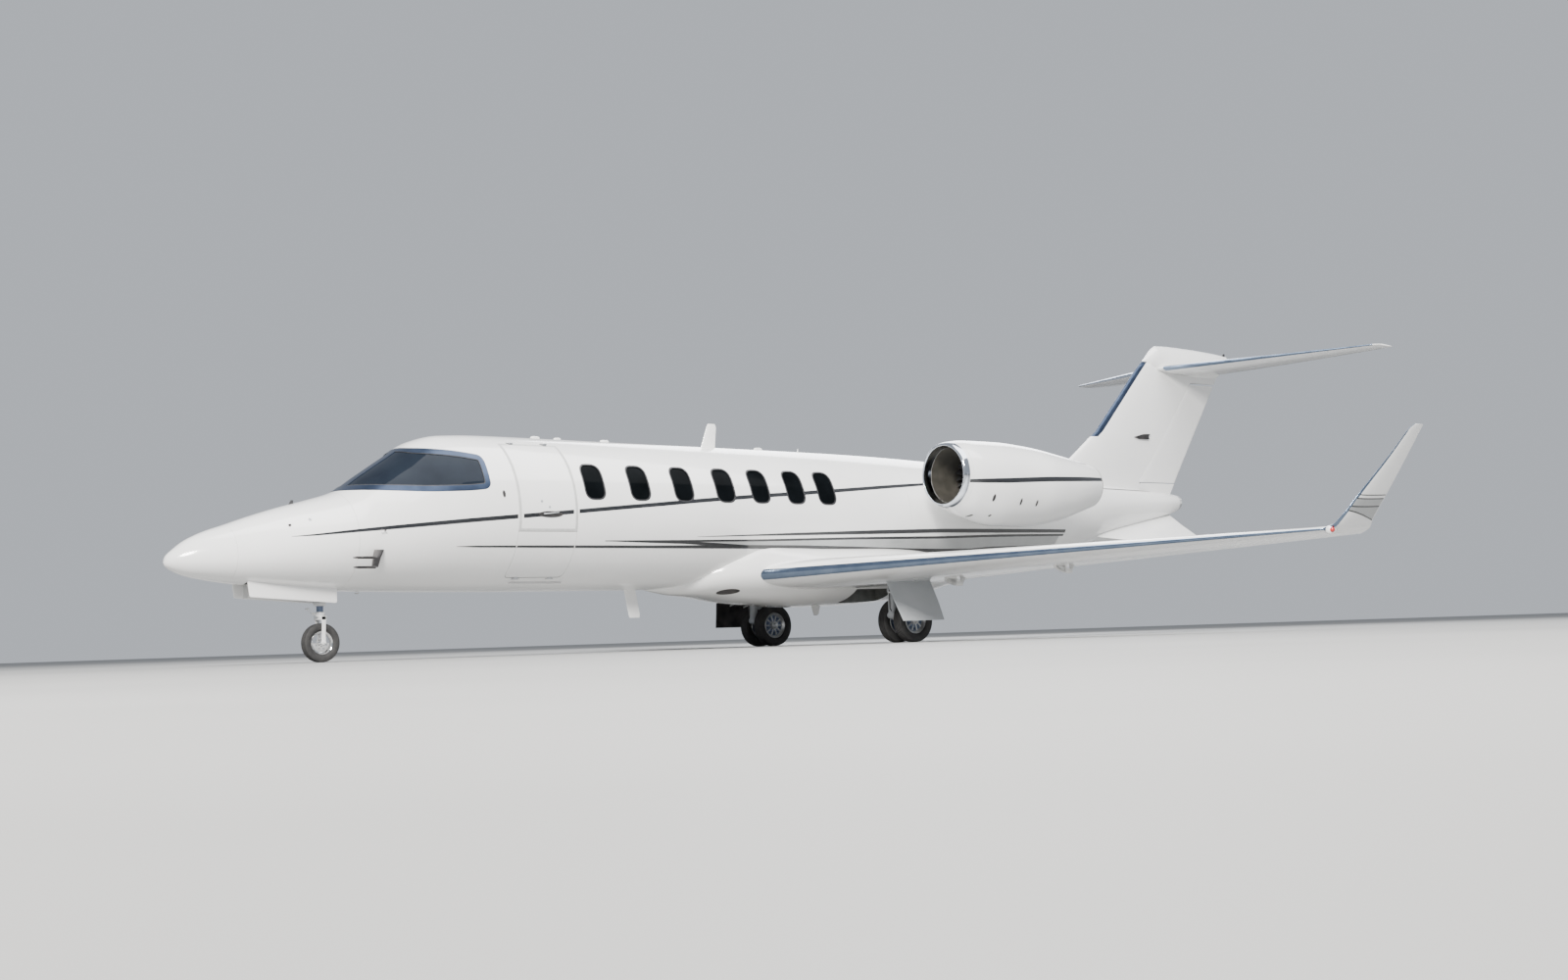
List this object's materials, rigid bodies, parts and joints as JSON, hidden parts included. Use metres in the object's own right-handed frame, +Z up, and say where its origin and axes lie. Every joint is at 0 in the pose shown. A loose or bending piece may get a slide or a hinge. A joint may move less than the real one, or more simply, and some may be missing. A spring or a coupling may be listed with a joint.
{
  "type": "business jet",
  "caption": "Light business jet with rear engines, T tail, winglets, fold-out entry door and tricycle gear with steered nose wheel, parked.",
  "frame": {"origin": "on the ground at mid length, in the plane of symmetry", "axes": "+X aft along the fuselage, +Y to starboard, +Z up"},
  "size_m": [17.6695, 15.5208, 4.299],
  "materials": {
    "white_paint": "glossy white paint",
    "polished_metal": "polished bare metal",
    "dark_metal": "dark heat-stained metal",
    "gear_metal": "satin machined metal",
    "window_glass": "tinted clear glazing",
    "tyre_rubber": "matt black tyre rubber",
    "seat_leather": "light tan leather",
    "carpet": "short grey-brown carpet",
    "panel_plastic": "matt dark plastic"
  },
  "bodies": {
    "airframe": {"radome": "white_paint", "nose_section": "white_paint", "tail_section": "white_paint", "cabin_shell": "white_paint", "windshield_frame": "polished_metal", "windshield_left": "window_glass", "windshield_right": "window_glass", "cabin_windows_left": "window_glass", "cabin_windows_right": "window_glass", "cabin_floor": "carpet", "instrument_panel": "panel_plastic", "seats_left": "seat_leather", "seats_right": "seat_leather", "belly_fairing": "white_paint", "fin": "white_paint", "tailplane": "white_paint", "nose_leg": "gear_metal", "antenna_top": "white_paint", "antenna_bottom": "white_paint", "wing_left": "white_paint", "winglet_left": "white_paint", "nacelle_left": "white_paint", "pylon_left": "white_paint", "delta_fin_left": "white_paint", "nose_gear_door_left": "white_paint", "gear_door_left": "white_paint", "inlet_lip_left": "polished_metal", "engine_core_left": "dark_metal", "main_leg_left": "gear_metal", "wing_right": "white_paint", "winglet_right": "white_paint", "nacelle_right": "white_paint", "pylon_right": "white_paint", "delta_fin_right": "white_paint", "nose_gear_door_right": "white_paint", "gear_door_right": "white_paint", "inlet_lip_right": "polished_metal", "engine_core_right": "dark_metal", "main_leg_right": "gear_metal"},
    "upper_door": {"door_upper": "white_paint"},
    "lower_door": {"door_lower": "white_paint"},
    "rudder_body": {"rudder": "white_paint"},
    "nose_steering": {"nose_fork": "gear_metal"},
    "nose_wheel": {"nose_hub": "polished_metal", "nose_tyre": "tyre_rubber"},
    "elevator_body_left": {"elevator_left": "white_paint"},
    "aileron_body_left": {"aileron_left": "white_paint"},
    "flap_body_left": {"flap_left": "white_paint"},
    "fan_body_left": {"fan_left": "gear_metal"},
    "main_wheels_left": {"main_hubs_left": "gear_metal", "main_tyre_left_inner": "tyre_rubber", "main_tyre_left_outer": "tyre_rubber"},
    "elevator_body_right": {"elevator_right": "white_paint"},
    "aileron_body_right": {"aileron_right": "white_paint"},
    "flap_body_right": {"flap_right": "white_paint"},
    "fan_body_right": {"fan_right": "gear_metal"},
    "main_wheels_right": {"main_hubs_right": "gear_metal", "main_tyre_right_inner": "tyre_rubber", "main_tyre_right_outer": "tyre_rubber"}
  },
  "joints": [
    {"name": "upper_door_hinge", "type": "hinge", "parent": "airframe", "child": "upper_door", "pos_m": [-4.5, -0.4265, 2.469], "axis": [-1, 0, 0], "range_deg": [0, 85]},
    {"name": "lower_door_hinge", "type": "hinge", "parent": "airframe", "child": "lower_door", "pos_m": [-4.5, -0.486, 0.888], "axis": [1, 0, 0], "range_deg": [0, 100]},
    {"name": "nose_steer", "type": "hinge", "parent": "airframe", "child": "nose_steering", "pos_m": [-7, 0, 0.5], "axis": [0, 0, 1], "range_deg": [-60, 60]},
    {"name": "nose_wheel_spin", "type": "hinge", "parent": "nose_steering", "child": "nose_wheel", "pos_m": [-7, 0, 0.218], "axis": [0, 1, 0], "continuous": true},
    {"name": "main_wheels_left_spin", "type": "hinge", "parent": "airframe", "child": "main_wheels_left", "pos_m": [0.495, -1.405, 0.2795], "axis": [0, 1, 0], "continuous": true},
    {"name": "fan_left_spin", "type": "hinge", "parent": "airframe", "child": "fan_body_left", "pos_m": [1.725, -1.5, 2.12115], "axis": [1, 0, 0], "continuous": true},
    {"name": "main_wheels_right_spin", "type": "hinge", "parent": "airframe", "child": "main_wheels_right", "pos_m": [0.495, 1.405, 0.2795], "axis": [0, 1, 0], "continuous": true},
    {"name": "fan_right_spin", "type": "hinge", "parent": "airframe", "child": "fan_body_right", "pos_m": [1.725, 1.5, 2.12115], "axis": [1, 0, 0], "continuous": true},
    {"name": "rudder_hinge", "type": "hinge", "parent": "airframe", "child": "rudder_body", "pos_m": [6.52703, 0, 2.24], "axis": [0.6341, 0, 0.7733], "range_deg": [-25, 25]},
    {"name": "elevator_left_hinge", "type": "hinge", "parent": "airframe", "child": "elevator_body_left", "pos_m": [8.71272, -2.86, 4.04494], "axis": [-0.2394, 0.9701, -0.0394], "range_deg": [-20, 15]},
    {"name": "aileron_left_hinge", "type": "hinge", "parent": "airframe", "child": "aileron_body_left", "pos_m": [2.07325, -6.65, 1.07538], "axis": [-0.2373, 0.9705, -0.0434], "range_deg": [-20, 20]},
    {"name": "flap_left_hinge", "type": "hinge", "parent": "airframe", "child": "flap_body_left", "pos_m": [1.48415, -4.24, 0.84763], "axis": [-0.1944, 0.9793, -0.0563], "range_deg": [0, 35]},
    {"name": "elevator_right_hinge", "type": "hinge", "parent": "airframe", "child": "elevator_body_right", "pos_m": [8.04385, 0.15, 3.93475], "axis": [0.2394, 0.9701, 0.0394], "range_deg": [-20, 15]},
    {"name": "aileron_right_hinge", "type": "hinge", "parent": "airframe", "child": "aileron_body_right", "pos_m": [1.50363, 4.32, 0.97111], "axis": [0.2373, 0.9705, 0.0434], "range_deg": [-20, 20]},
    {"name": "flap_right_hinge", "type": "hinge", "parent": "airframe", "child": "flap_body_right", "pos_m": [0.85575, 1.075, 0.66573], "axis": [0.1944, 0.9793, 0.0563], "range_deg": [0, 35]}
  ],
  "couplings": [
    {"joint": "elevator_right_hinge", "follows": "elevator_left_hinge", "ratio": 1},
    {"joint": "aileron_right_hinge", "follows": "aileron_left_hinge", "ratio": -1},
    {"joint": "flap_right_hinge", "follows": "flap_left_hinge", "ratio": 1}
  ]
}
